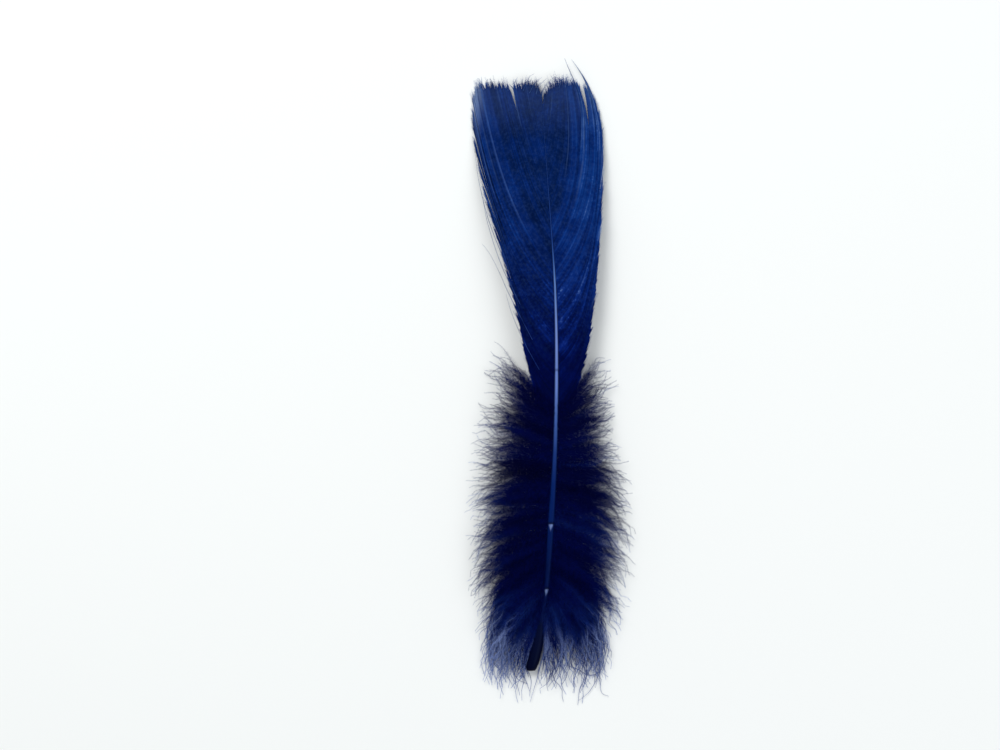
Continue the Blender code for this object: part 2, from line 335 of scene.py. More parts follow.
# How far along their lengths the barbs reach, by root, without their last hairs. They are shorter
# where the two long wisps stand free.
LEFT_REACH = (
    (-0.0104, 1.00), (0.0150, 1.00), (0.0185, 0.96), (0.0250, 0.945), (0.0330, 0.93),
    (0.0370, 0.905), (0.0410, 0.895), (0.0450, 0.88), (0.0480, 0.87), (0.0505, 0.89),
    (0.0516, 0.80), (0.0534, 0.72),
)
RIGHT_REACH = (
    (-0.0104, 1.00), (0.0165, 1.00), (0.0185, 0.97), (0.0200, 0.94), (0.0215, 0.91),
    (0.0227, 0.885), (0.0231, 0.875), (0.0246, 0.885), (0.0256, 0.905), (0.0290, 0.94),
    (0.0370, 0.94), (0.0450, 0.895), (0.0485, 0.88), (0.0500, 0.86), (0.0534, 0.72),
)
# How light the dye is, by root, from 0 to 1, and how much lighter towards the barb's tip and in its
# hair.
LEFT_TONE = (
    (-0.0104, 0.30), (0.0000, 0.38), (0.0080, 0.42), (0.0125, 0.38), (0.0150, 0.40),
    (0.0175, 0.42), (0.0197, 0.50), (0.0206, 0.37), (0.0300, 0.33), (0.0340, 0.34),
    (0.0450, 0.30), (0.0534, 0.28),
)
RIGHT_TONE = (
    (-0.0104, 0.30), (0.0000, 0.43), (0.0080, 0.53), (0.0160, 0.56), (0.0230, 0.54),
    (0.0244, 0.56), (0.0254, 0.47), (0.0300, 0.44), (0.0314, 0.34), (0.0450, 0.28),
    (0.0534, 0.28),
)
TIP_TONE, HAIR_TONE = 0.12, 0.30
# Painted highlights: pale lines where a lock's edge catches the light. Painted shade: dark ones,
# below 0, where barbs stand apart. Each: place of the root, from and to what share of the barb,
# and how strong.
LEFT_LINES = (
    (0.0198, 0.20, 1.00, 0.13), (0.0175, 0.45, 1.00, 0.10), (0.0152, 0.40, 0.90, -0.36),
    (0.0144, 0.50, 1.00, 0.22), (0.0122, 0.35, 0.96, -0.44), (0.0113, 0.50, 1.00, 0.26),
    (0.0096, 0.40, 0.96, -0.46), (0.0088, 0.50, 1.00, 0.26), (0.0070, 0.40, 0.98, -0.44),
    (0.0061, 0.50, 1.00, 0.30), (0.0044, 0.45, 1.00, -0.38), (0.0035, 0.55, 1.00, 0.26),
    (0.0014, 0.45, 1.00, -0.26), (0.0005, 0.60, 1.00, 0.22), (-0.0024, 0.60, 1.00, 0.18),
    (0.0342, 0.55, 1.00, 0.18), (0.0262, 0.70, 1.00, 0.10), (0.0420, 0.45, 0.95, 0.08),
)
RIGHT_LINES = (
    (0.0310, 0.25, 0.95, 0.14), (0.0247, 0.22, 0.95, 0.16), (0.0462, 0.30, 0.70, 0.14),
    (0.0160, 0.60, 1.00, 0.20), (0.0090, 0.86, 1.00, 0.40), (0.0045, 0.88, 1.00, 0.35),
    (0.0120, 0.86, 1.00, 0.35), (-0.0010, 0.80, 1.00, 0.20), (0.0390, 0.70, 1.00, 0.15),
)
LINE_WIDTH = 0.28 * MM  # counted in roots
# Painted sheen, a greyer, steely blue where the vane's outer corner catches the light: the root
# it is strongest at, over how many roots, and how strong it is at the tip. It shows on the last
# part of the barb.
LEFT_PAINTED_SHEEN = (0.0168, 2.8 * MM, 0.95)
RIGHT_PAINTED_SHEEN = (0.0150, 4.0 * MM, 0.30)
PAINTED_SHEEN_FROM, PAINTED_SHEEN_TO = 0.80, 1.02  # shares of the barb
# Painted sheen over the tips of all barbs.
TIP_PAINTED_SHEEN = 0.045  # of all barbs, where Y is past
TIP_PAINTED_SHEEN_FROM, TIP_PAINTED_SHEEN_TO = 0.0460, 0.0560
BARBS_A_SIDE = 290
BARB_STEPS = 44
ROOT_FIRST, ROOT_LAST = -0.0104, 0.0534
ROOT_UNEVEN = 0.03 * MM
BARB_OVERLAP = 1.7  # width of a barb with its barbules over the space between two barbs
BARB_CROWN = 0.14  # height of a barb's middle over its edges, as a share of its half width
BARB_TILT = 0.09  # how much a barb leans over the next one, in radians
HAIR_LENGTH = 3.0 * MM  # at most, at a barb's tip, past its long barbules
LEAST_HAIR = 0.15  # of that, for the shortest one
HAIR_PAST = 0.55  # of a hair reaches past the vane's edge
HAIR_SHARE = 0.35  # of a short barb's length, at most
HAIR_WIDTH = 0.045 * MM
SHORT_BARBULES = 0.20 * MM  # apart along the hair
SHORT_BARBULE_LENGTH = 0.30 * MM
SHORT_BARBULE_WIDTH = 0.035 * MM
HAIR_CURL = 1.0 * MM  # sideways, for the hairs near the shaft's end
CURLS_FROM = 0.0360  # roots
BARBS_A_TUFT = 5.5  # on average, where barbs gather at the vane's edge
TUFT_LENGTH = 1.4 * MM
TUFT_DRAW = 0.65  # how far the barbs of a tuft draw together
TUFT_UNEVEN = 0.18 * MM  # between the lengths of tufts
BARB_UNEVEN = 0.15 * MM  # between the lengths of a tuft's barbs
TUFTS_FROM, TUFTS_FULL = 0.0150, 0.0230  # roots: below them the edge has single barbs, not tufts
EDGE_UNEVEN = 0.25 * MM  # between the lengths of those single barbs


def headings(degrees):
    """Directions in plan at angles from +Y, positive towards +X."""
    angle = np.radians(degrees)
    return np.stack([np.sin(angle), np.cos(angle)], -1)


def on_barbs(table, roots, shares):
    """Points in plan, each at a share of the length of the barb with that root."""
    tip_x, tip_y, leave, arrive = np.moveaxis(smooth(table, roots), -1, 0)
    start = np.stack([smooth(SHAFT, roots)[..., 0], roots], -1)
    end = np.stack([tip_x, tip_y], -1)
    pull = BARB_PULL * np.linalg.norm(end - start, axis=-1)[..., None]
    after_start = start + pull * headings(leave)
    before_end = end - pull * headings(arrive)
    share = shares[..., None]
    rest = 1 - share
    return (
        rest ** 3 * start
        + 3 * rest * rest * share * after_start
        + 3 * rest * share * share * before_end
        + share ** 3 * end
    )


def vane_height(plan):
    """Height of the vane over points in plan: cambered, and bent up where it meets the surface."""
    shaft = smooth(SHAFT, plan[..., 1])
    above = shaft[..., 1] - CAMBER * (plan[..., 0] - shaft[..., 0]) ** 2 - LEAST_HEIGHT
    return LEAST_HEIGHT + (above + np.hypot(above, SOFT_LANDING)) / 2


def by_root(rows, roots):
    """A value of each barb, on straight lines through rows of (root, value)."""
    places, values = zip(*rows)
    return np.interp(roots, places, values)


def ripple(at, wavelength, rng, waves=5):
    """Smooth noise of about that wavelength, mostly between -1 and 1."""
    total = np.zeros(np.shape(at))
    for _ in range(waves):
        length = wavelength * rng.uniform(0.6, 1.7)
        total += np.sin(2 * math.pi * at / length + rng.uniform(0, 2 * math.pi))
    return total / math.sqrt(waves)


def unit(vectors):
    return vectors / np.maximum(np.linalg.norm(vectors, axis=-1), 1e-12)[..., None]


def right_of(along, *rise):
    """The directions square to others in plan, to their right, with a rise for lines in space."""
    rises = [np.full(along.shape[:-1], value) for value in rise]
    return np.stack([along[..., 1], -along[..., 0], *rises], -1)


def quads(count, steps, sides):
    """The faces of strips three points wide, one on each of the sides: pairs of those points."""
    corner = (np.arange(count * steps).reshape(count, steps) * 3)[:, :-1]
    return np.concatenate([
        np.stack([corner + a, corner + b, corner + b + 3, corner + a + 3], -1).reshape(-1, 4)
        for a, b in sides
    ]).tolist()


def ribbons(lines, half_widths, crown, tilt):
    """Strips of quads along lines, three points wide. Gives the points and the faces."""
    along = unit(np.gradient(lines, axis=1))
    across = unit(right_of(along, 0.0))
    up = unit(np.cross(across, along))
    lean = np.cos(tilt)[..., None] * across + np.sin(tilt)[..., None] * up
    width = half_widths[..., None]
    points = np.stack([lines - lean * width, lines + up * width * crown, lines + lean * width], 2)
    return points, quads(*lines.shape[:2], ((0, 1), (1, 2)))


def dyed_vane_keratin():
    """Barbs of dyed keratin with rows of hooked barbules: a deep, satin navy, teal at the tip and
    violet lower down, with small pale flecks where barbules have come unhooked."""
    material, tree, shader = new_material("dyed_vane_keratin")
    marks = add(tree, "Attribute", attribute_name="marks")
    marks = add(tree, "SeparateColor", {"Color": marks})
    place = add(tree, "TexCoord").outputs["Object"]
    # Cloudy dye, in patches of 3 to 6 mm.
    clouds = add(tree, "TexNoise", {
        "Vector": place, "Scale": 1 / (4.5 * MM), "Detail": 4.0, "Roughness": 0.6,
    })
    clouds = add(tree, "MapRange", {
        "Value": clouds, "From Min": 0.3, "From Max": 0.7,
        "To Min": -0.12, "To Max": 0.12,
    })
    tone = add(tree, "Math", {0: marks.outputs["Red"], 1: clouds}, operation="ADD")
    # Flecks about 0.3 mm across, lighter than the dye round them, thick in some places and absent
    # in others.
    flecks = add(tree, "TexNoise", {
        "Vector": place, "Scale": 1 / (0.50 * MM), "Detail": 2.0, "Roughness": 0.6,
    })
    flecks = add(tree, "MapRange", {"Value": flecks, "From Min": 0.50, "From Max": 0.80})
    where = add(tree, "TexNoise", {"Vector": place, "Scale": 1 / (11.0 * MM), "Detail": 3.0})
    where = add(tree, "MapRange", {
        "Value": where, "From Min": 0.40, "From Max": 0.65,
        "To Min": 0.03, "To Max": 0.24,
    })
    tone = add(tree, "Math", {0: flecks, 1: where, 2: tone}, operation="MULTIPLY_ADD")
    upper = add(tree, "ValToRGB", {"Fac": tone}, (
        (0.00, "#00081e"), (0.30, "#011644"), (0.50, "#03205e"), (0.70, "#0c357a"),
        (1.00, "#5b7aa8"),
    ))
    lower = add(tree, "ValToRGB", {"Fac": tone}, (
        (0.00, "#00021a"), (0.30, "#000330"), (0.50, "#000842"), (0.70, "#051b68"),
        (1.00, "#3e5ea0"),
    ))
    along = add(tree, "SeparateXYZ", {"Vector": place}).outputs["Y"]
    high = add(tree, "MapRange", {
        "Value": along, "From Min": 0 * MM, "From Max": 42 * MM,
    }, interpolation_type="SMOOTHSTEP")
    dye = add(tree, "Mix", {"Factor": high, "A": lower, "B": upper}, data_type="RGBA")
    # A painted sheen, broken into spots of 0.3 to 0.8 mm where barbules lie at other angles, fading
    # away towards the down.
    sheen = add(tree, "TexNoise", {
        "Vector": place, "Scale": 1 / (0.6 * MM), "Detail": 4.0, "Roughness": 0.65,
    })
    most = add(tree, "MapRange", {
        "Value": along, "From Min": 0 * MM, "From Max": 22 * MM, "To Min": 0.01, "To Max": 0.12,
    })
    sheen = add(tree, "MapRange", {
        "Value": sheen, "From Min": 0.44, "From Max": 0.68,
        "To Min": 0.0, "To Max": most,
    })
    # Blue marks painted sheen, a steely blue, and green the painted highlights along the edges of
    # locks.
    for share, colour in (
        (sheen, "#3c5a96"), (marks.outputs["Blue"], "#7a90b4"), (marks.outputs["Green"], "#5c80bb"),
    ):
        dye = add(tree, "Mix", {"Factor": share, "A": dye, "B": linear(colour)}, data_type="RGBA")
    # UV: X runs across a barb from 0 to 1, Y along it in millimetres.
    uv = add(tree, "UVMap", uv_map="along_barb")
    split = add(tree, "SeparateXYZ", {"Vector": uv})
    aside = add(tree, "Math", {0: split.outputs["X"], 1: 0.5}, operation="SUBTRACT")
    aside = add(tree, "Math", {0: aside}, operation="ABSOLUTE")
    # Painted light across each barb: a painted highlight along its middle, painted shade towards its
    # edges.
    back = add(tree, "MapRange", {
        "Value": aside, "From Min": 0.10, "From Max": 0.5,
        "To Min": 1.12, "To Max": 0.86,
    })
    shaded = add(tree, "Mix", {
        "Factor": 1.0, "A": dye, "B": back,
    }, data_type="RGBA", blend_type="MULTIPLY")
    # Barbules leave the barb's back at a slant. Real ones are 0.03 mm apart, and these 0.12 mm, so
    # that they show.
    slant = add(tree, "Math", {0: aside, 1: 0.30, 2: split.outputs["Y"]}, operation="MULTIPLY_ADD")
    barbules = add(tree, "Math", {0: slant, 1: 2 * math.pi / 0.12}, operation="MULTIPLY")
    barbules = add(tree, "Math", {0: barbules}, operation="SINE")
    bump = add(tree, "Bump", {"Height": barbules, "Strength": 0.25, "Distance": 0.02 * MM})
    feed(tree, shader, {
        "Base Color": shaded, "Normal": bump, "Roughness": 0.55, "IOR": 1.54,
        "Specular IOR Level": 0.05, "Specular Tint": linear("#5f86e0"),
    })
    return material


def run_of(lines):
    """How far along its line each point lies."""
    steps = np.linalg.norm(np.diff(lines, axis=1), axis=-1)
    return np.concatenate([np.zeros((len(lines), 1)), steps.cumsum(1)], 1)


def toned(tone):
    """Marks with a tone only."""
    marks = np.zeros(tone.shape + (4,))
    marks[..., 0] = tone
    marks[..., 3] = 1.0
    return marks


def barbules_on(lines, marks, gap, first, size, width, rng):
    """Loose barbules along both sides of barbs: short bent strips that taper to a hair. First is
    how far along its barb the first one stands, and size, about their length, has a value for each
    point of the lines. Gives the points, the faces and the points' marks."""
    length = run_of(lines)
    starts, alongs, sizes, shades = [], [], [], []
    for line, run, mark, begin, share in zip(lines, length, marks, first, size):
        places = np.arange(begin, run[-1], gap)
        places = places + rng.uniform(-0.4, 0.4, len(places)) * gap
        index = np.clip(np.searchsorted(run, places, "right") - 1, 0, len(run) - 2)
        part = (places - run[index]) / (run[index + 1] - run[index])
        starts.append(line[index] + (line[index + 1] - line[index]) * part[:, None])
        alongs.append(unit(line[index + 1] - line[index]))
        sizes.append(share[index])
        shades.append(mark[index])
    start, along = np.repeat(np.concatenate(starts), 2, 0), np.repeat(np.concatenate(alongs), 2, 0)
    size, shade = np.repeat(np.concatenate(sizes), 2), np.repeat(np.concatenate(shades), 2, 0)
    count = len(start)
    side = np.tile([-1.0, 1.0], count // 2)
    across = unit(right_of(along, 0.0))
    up = np.cross(across, along)
    roll = rng.normal(0, 0.6, count)
    out = side[:, None] * (np.cos(roll)[:, None] * across + np.sin(roll)[:, None] * up)
    size = size * rng.uniform(0.6, 1.25, count)
    width = width * np.minimum(1, np.sqrt(size / size.max()))[:, None]
    slant = rng.uniform(0.5, 1.0, count)
    middle = start + size[:, None] * (0.55 * out + (0.35 * slant)[:, None] * along)
    tip = start + size[:, None] * (0.85 * out + slant[:, None] * along)
    # Each barbule is a strip to its middle and a point from there, bent forward along the barb.
    points = np.stack([
        start - along * width / 2, start + along * width / 2,
        middle + along * width * 0.4, middle - along * width * 0.4, tip,
    ], 1)
    corner = np.arange(count)[:, None] * 5
    strips = (corner + np.array([0, 1, 2, 3])).tolist()
    ends = (corner + np.array([3, 2, 4])).tolist()
    return points.reshape(-1, 3), strips + ends, np.repeat(shade, 5, 0)


def with_barbules(points, faces, marks, barbules):
    """Barbs three points wide, with one mark for each three, and their barbules as one mesh: its
    points, faces and marks."""
    more_points, more_faces, more_marks = barbules
    points = points.reshape(-1, 3)
    faces = faces + [[corner + len(points) for corner in face] for face in more_faces]
    marks = np.repeat(marks.reshape(-1, 4), 3, 0)
    return np.concatenate([points, more_points]), faces, np.concatenate([marks, more_marks])


def make_vane(name, table, splits, reaches, tones, pale_lines, painted_sheen, side, material, rng):
    """One vane, barb by barb. Side is -1 left and 1 right."""
    own = np.linspace(ROOT_FIRST, ROOT_LAST, BARBS_A_SIDE)
    own += rng.normal(0, ROOT_UNEVEN, BARBS_A_SIDE)
    shares = np.linspace(0, 1, BARB_STEPS) ** 0.9
    tips = smooth(table, own)[:, :2]
    whole = np.hypot(tips[:, 0] - smooth(SHAFT, own)[:, 0], tips[:, 1] - own)
    # Lengths differ from one small tuft to the next, and a long hair reaches past its tuft.
    tuft = np.cumsum(rng.random(BARBS_A_SIDE) < 1 / BARBS_A_TUFT)
    uneven = rng.normal(0, TUFT_UNEVEN, tuft[-1] + 1)[tuft]
    uneven += rng.normal(0, BARB_UNEVEN, BARBS_A_SIDE)
    uneven += rng.normal(0, EDGE_UNEVEN, BARBS_A_SIDE) * step_up(own, TUFTS_FULL, TUFTS_FROM)
    hair = HAIR_LENGTH * (LEAST_HAIR + (1 - LEAST_HAIR) * rng.random(BARBS_A_SIDE) ** 3)
    hair = np.minimum(hair, HAIR_SHARE * whole)
    reach = by_root(reaches, own) + (uneven + HAIR_PAST * hair) / whole
    share = shares * reach[:, None]
    hair = hair[:, None]
    roots = np.repeat(own[:, None], BARB_STEPS, 1)
    lift = np.zeros(roots.shape)
    for root, opens, draw, spread, step in splits:
        open_by = step_up(share, opens, 1.02)
        far = own[:, None] - root
        near = np.exp(-np.abs(far) / (spread * MM))
        roots = roots + np.sign(far) * (draw * MM) * open_by * near
        raised = np.where(far * step > 0, abs(step * MM), 0.0)
        lift += raised * near * step_up(share, opens - 0.25, opens + 0.2)
    # At the vane's edge the barbs gather in tufts of a few.
    middle = np.bincount(tuft, own) / np.maximum(np.bincount(tuft), 1)
    gather = step_up((reach[:, None] - share) * whole[:, None], TUFT_LENGTH, 0.2 * MM)
    gather = gather * TUFT_DRAW * step_up(own, TUFTS_FROM, TUFTS_FULL)[:, None]
    roots = roots + (middle[tuft] - own)[:, None] * gather
    plan = on_barbs(table, roots, share)
    beside = on_barbs(table, roots + 0.1 * MM, share)
    square = right_of(unit(np.gradient(plan, axis=1)))
    gap = np.abs(((beside - plan) * square).sum(-1)) / (0.1 * MM)
    spacing = gap * (ROOT_LAST - ROOT_FIRST) / (BARBS_A_SIDE - 1)
    half = 0.5 * BARB_OVERLAP * np.clip(spacing, 0.03 * MM, 0.5 * MM)
    length = run_of(plan)
    left_of = length[:, -1:] - length
    taper = step_up(left_of, 0.35 * hair, 1.1 * hair)
    half = np.maximum(half * taper, HAIR_WIDTH / 2 * np.clip(left_of / hair * 1.4, 0.25, 1))
    # The hairs at the end of the shaft curl over it, and the others bend a little at random.
    curl = np.where(own > CURLS_FROM, -side * rng.uniform(-0.2, 1.0, BARBS_A_SIDE), 0.0)
    curl = curl + rng.normal(0, 0.15, BARBS_A_SIDE)
    plan[..., 0] += HAIR_CURL * curl[:, None] * step_up(left_of, 1.2 * hair, 0) ** 2
    height = vane_height(plan) + lift
    height += 0.05 * MM * ripple(own, 2.5 * MM, rng)[:, None] * step_up(share, 0.1, 0.6)
    height += (0.10 * MM * rng.normal(0, 1, (BARBS_A_SIDE, 1))) * step_up(left_of, 2 * MM, 0)
    lines = np.concatenate([plan, height[..., None]], -1)
    tilt = side * (BARB_TILT + 0.08 * ripple(own, 1.2 * MM, rng))[:, None] * np.ones(roots.shape)
    points, faces = ribbons(lines, half, BARB_CROWN, tilt)
    # Red is how light the dye is, in streaks that follow the barbs.
    streak = 0.06 * ripple(own, 4.5 * MM, rng) + 0.05 * ripple(own, 1.1 * MM, rng)
    streak += rng.normal(0, 0.025, BARBS_A_SIDE)
    tone = (by_root(tones, own) + streak)[:, None] + TIP_TONE * step_up(share, 0.55, 1.0)
    tone = tone + HAIR_TONE * step_up(left_of, 1.2 * hair, 0)
    line = np.zeros(roots.shape)
    # Pale lines are painted highlights on lock edges; dark ones, below 0, painted shade between
    # barbs.
    for root, starts, ends, strength in pale_lines:
        edge = np.exp(-((own[:, None] - root) / LINE_WIDTH) ** 2)
        edge = edge * step_up(share, starts, starts + 0.2) * step_up(share, ends + 0.1, ends)
        line += max(strength, 0) * edge
        tone = tone + min(strength, 0) * edge
    # Blue marks painted sheen: a greyer blue on the last part of the barbs at the outer corner and at
    # the tip.
    sheen_peak, spread, most = painted_sheen
    sheen_share = most * np.exp(-((own - sheen_peak) / spread) ** 2) * rng.uniform(0.3, 1.2, BARBS_A_SIDE)
    sheen_share = sheen_share[:, None] * step_up(share, PAINTED_SHEEN_FROM, PAINTED_SHEEN_TO)
    sheen_share = sheen_share + TIP_PAINTED_SHEEN * step_up(plan[..., 1], TIP_PAINTED_SHEEN_FROM, TIP_PAINTED_SHEEN_TO)
    marks = np.clip(np.stack([tone, line, sheen_share, np.ones(roots.shape)], -1), 0, 1)
    # Short barbules make the free tips soft.
    size = SHORT_BARBULE_LENGTH * step_up(left_of, 0, 1.5 * MM) + 0.05 * MM
    first = length[:, -1] - 1.1 * hair[:, 0]
    points, faces, marks = with_barbules(points, faces, marks, barbules_on(
        lines, marks, SHORT_BARBULES, first, size, SHORT_BARBULE_WIDTH, rng
    ))
    uv = np.full((len(points), 2), 0.5)
    uv[:length.size * 3, 0] = np.tile([0.0, 0.5, 1.0], length.size)
    uv[:length.size * 3, 1] = np.repeat(length / MM, 3)
    new_piece(name, points, faces, marks, material, uv)


vane_keratin = dyed_vane_keratin()
make_vane(
    "vane_left", LEFT_VANE, LEFT_SPLITS, LEFT_REACH, LEFT_TONE, LEFT_LINES, LEFT_PAINTED_SHEEN, -1,
    vane_keratin, np.random.default_rng(11),
)
make_vane(
    "vane_right", RIGHT_VANE, RIGHT_SPLITS, RIGHT_REACH, RIGHT_TONE, RIGHT_LINES, RIGHT_PAINTED_SHEEN, 1,
    vane_keratin, np.random.default_rng(14),
)


# Loose barbs. On a worn feather some barbs come unzipped from the rest: here two long wisps at the
# tip's right corner, each a few barbs that cling together, and single hairs along the edges.

# Each wisp: name, how many barbs, half its width where it starts, and its route in plan, in mm,
# from inside the vane to the free point.
WISPS = (
    ("inner", 19, 0.46 * MM, (
        (6.0, 38.0), (6.5, 44.0), (6.7, 50.0), (6.5, 53.6), (6.0, 56.0),
        (5.2, 58.2), (4.2, 60.5), (3.1, 63.2),
    )),
    ("outer", 25, 0.76 * MM, (
        (9.8, 40.0), (10.0, 45.0), (9.8, 50.0), (9.1, 53.5), (8.3, 56.3),
        (7.3, 58.7), (6.0, 60.9), (4.5, 63.0),
    )),
)
WISP_STEPS = 40
WISP_RADIUS = 0.11 * MM
WISP_DEPTH, WISP_LIFT = 0.30 * MM, 0.25 * MM  # below the vane where it starts, above it further on
WISP_LAYERS = 0.12 * MM  # up or down between its barbs
WISP_ENDS = 0.42  # how much shorter its outer barbs are, as a share of the route
WISP_TONE, WISP_TIP_TONE = 0.58, 0.25
# Single barbs on the vane: their routes in plan, in mm.
LOOSE_BARBS = (
    ((-3.4, 7.0), (-8.0, 16.0), (-10.0, 20.5), (-11.8, 24.0), (-13.4, 26.2)),
    ((-5.8, 14.0), (-9.4, 21.5), (-12.2, 30.0), (-13.6, 37.0)),
    ((-7.8, 20.0), (-11.8, 30.0), (-14.0, 38.5), (-14.9, 45.0)),
    ((-2.0, 1.0), (-5.0, 6.5), (-7.4, 12.0), (-8.6, 16.0)),
    ((-5.2, 56.6), (-4.5, 58.3), (-3.9, 59.5), (-3.0, 60.1)),
    ((-3.9, 56.2), (-3.2, 57.6), (-2.4, 58.6), (-1.4, 59.4)),
    ((-2.6, 56.0), (-2.1, 57.6), (-1.2, 58.5), (-0.5, 59.2)),
    ((-1.5, 55.8), (-1.1, 57.0), (-0.3, 58.3), (0.4, 58.8)),
    ((-7.2, 57.0), (-6.9, 58.3), (-6.3, 59.5)),
    ((2.0, 57.2), (2.4, 58.6), (2.8, 59.7)),
    ((3.2, 57.4), (3.4, 58.8), (3.8, 59.8)),
    ((-13.6, 57.4), (-13.5, 58.6), (-13.5, 59.6)),
)
LOOSE_RADIUS = 0.06 * MM
LOOSE_LIFT = 0.15 * MM
LOOSE_TONE = 0.80


def curve_through(route, steps):
    """Points at even shares of a smooth curve through a route's points, which are in mm."""
    route = np.array(route) * MM
    run = np.concatenate([[0], np.linalg.norm(np.diff(route, axis=0), axis=1).cumsum()])
    return smooth(np.column_stack([run, route]), np.linspace(0, run[-1], steps))


def tubes(lines, radii):
    """Three-sided tubes along lines. Gives the points and the faces."""
    along = unit(np.gradient(lines, axis=1))
    across = unit(right_of(along, 1e-6))
    up = np.cross(across, along)
    angles = np.array([0.5, 7 / 6, 11 / 6])[:, None] * math.pi
    ring = np.cos(angles) * across[..., None, :] + np.sin(angles) * up[..., None, :]
    points = lines[..., None, :] + ring * radii[..., None, None]
    return points, quads(*lines.shape[:2], ((0, 1), (1, 2), (2, 0)))


def make_wisp(name, count, spread, route, material, rng):
    """A few barbs that start side by side in the vane and end one after another along its route."""
    middle = curve_through(route, WISP_STEPS)
    square = right_of(unit(np.gradient(middle, axis=0)))
    shares = np.linspace(0, 1, WISP_STEPS)
    place = np.linspace(-1, 1, count)
    ends = 1.0 - WISP_ENDS * np.abs(place) ** 1.3 * rng.uniform(0.7, 1.2, count)
    lines, radii, tones = [], [], []
    for at, end in zip(place, ends):
        share = shares * end
        at_share = [np.interp(share, shares, column) for column in (*middle.T, *square.T)]
        plan = np.stack(at_share[:2], -1)
        aside = np.stack(at_share[2:], -1)
        narrow = (1 - share) ** 0.9 + 0.04
        plan = plan + aside * (at * spread * narrow)[:, None]
        rise = (WISP_LIFT + WISP_DEPTH) * step_up(share, 0, 0.45)
        height = vane_height(plan) - WISP_DEPTH + rise + WISP_LAYERS * rng.normal() * share
        lines.append(np.concatenate([plan, height[:, None]], -1))
        radii.append(WISP_RADIUS * (1.1 - shares) ** 0.6 * step_up(shares, -0.02, 0.10))
        tones.append(WISP_TONE + 0.08 * rng.normal() + WISP_TIP_TONE * share)
    points, faces = tubes(np.array(lines), np.array(radii))
    marks = toned(np.repeat(np.clip(tones, 0, 1), 3))
    new_piece(name, points, faces, marks, material, 0.5)


def make_loose_barbs(material):
    lines = []
    for route in LOOSE_BARBS:
        plan = curve_through(route, WISP_STEPS)
        lines.append(np.concatenate([plan, (vane_height(plan) + LOOSE_LIFT)[:, None]], -1))
    shares = np.linspace(0, 1, WISP_STEPS)
    radii = LOOSE_RADIUS * (1.05 - shares) ** 0.5 * np.ones((len(lines), 1))
    points, faces = tubes(np.array(lines), radii)
    marks = toned(np.full(points.size // 3, LOOSE_TONE))
    new_piece("loose_barbs", points, faces, marks, material, 0.5)


for name, count, spread, route in WISPS:
    make_wisp(f"wisp_{name}", count, spread, route, vane_keratin, np.random.default_rng(count))
make_loose_barbs(vane_keratin)


# The down. Soft barbs without hooks on the lower shaft, each with long, loose barbules. They leave
# the shaft on both sides, arch over one another in soft locks and droop past the end of the quill.
LEFT_DOWN = (
    (-0.0450, -0.0074, -0.0634, -146, -184),
    (-0.0435, -0.0110, -0.0600, -132, -168),
    (-0.0400, -0.0142, -0.0528, -116, -154),
    (-0.0340, -0.0161, -0.0430, -104, -140),
    (-0.0270, -0.0163, -0.0322, -92, -124),
    (-0.0190, -0.0155, -0.0200, -80, -104),
    (-0.0125, -0.0139, -0.0076, -66, -80),
    (-0.0065, -0.0108, 0.0058, -46, -50),
)
RIGHT_DOWN = (
    (-0.0450, 0.0014, -0.0646, 158, 188),
    (-0.0435, 0.0062, -0.0624, 142, 178),
    (-0.0400, 0.0120, -0.0558, 122, 162),
    (-0.0340, 0.0152, -0.0458, 108, 148),
    (-0.0270, 0.0163, -0.0344, 96, 132),
    (-0.0190, 0.0159, -0.0220, 84, 112),
    (-0.0125, 0.0144, -0.0090, 70, 84),
    (-0.0065, 0.0119, 0.0040, 48, 52),
)
# The lowest barbs lie beside the quill and hang straight down from the feather.
LEFT_CURTAIN = (
    (-0.0458, -0.0046, -0.0655, -166, -184),
    (-0.0430, -0.0074, -0.0648, -152, -184),
    (-0.0390, -0.0107, -0.0626, -134, -178),
    (-0.0320, -0.0138, -0.0572, -118, -170),
)
RIGHT_CURTAIN = (
    (-0.0458, -0.0028, -0.0660, 184, 188),
    (-0.0430, 0.0020, -0.0654, 162, 188),
    (-0.0390, 0.0081, -0.0635, 140, 181),
    (-0.0320, 0.0124, -0.0590, 120, 172),
)
# Each layer: name, its barbs on the left and on the right, how many, their first and last roots,
# lowest and highest tips, least and most arch, and their length as a share of the table's.
DOWN_LAYERS = (
    ("curtain", LEFT_CURTAIN, RIGHT_CURTAIN, 215, -0.0458, -0.0325,
     0.2 * MM, 1.2 * MM, 0.1 * MM, 0.6 * MM, 1.02),
    ("lower", LEFT_DOWN, RIGHT_DOWN, 235, -0.0440, -0.0062,
     0.3 * MM, 1.8 * MM, 0.2 * MM, 1.0 * MM, 1.02),
    ("upper", LEFT_DOWN, RIGHT_DOWN, 205, -0.0436, -0.0070,
     1.2 * MM, 3.4 * MM, 0.8 * MM, 2.2 * MM, 0.93),
)
DOWN_STEPS = 22
DOWN_SCATTER = 0.20 * MM  # of the barbs' roots
LOCK_BARBS = 9  # barbs that cling together in a lock
LOCK_REACH, BARB_REACH = (0.84, 1.03), (0.78, 1.07)  # least and most share of their layer's length
LONGEST = 1.05  # of any one barb, as a share of the table's
SHORT_FROM, SHORT_TO = -0.0360, -0.0430  # from the first root to the second barbs get shorter,
SHORTER = 0.30  # each at random, by up to this share
LOCK_DRAW = 0.45  # how far the barbs of a lock draw together
LOCK_WANDER, BARB_WANDER = 0.7 * MM, 0.8 * MM  # at their tips, counted in roots
RAMUS_RADIUS = 0.05 * MM
DOWN_LEAST = 0.12 * MM  # of the barbs' height
BARBULE_SPACE = 0.21 * MM
BARBULE_LENGTH = 1.25 * MM
BARBULE_WIDTH = 0.07 * MM
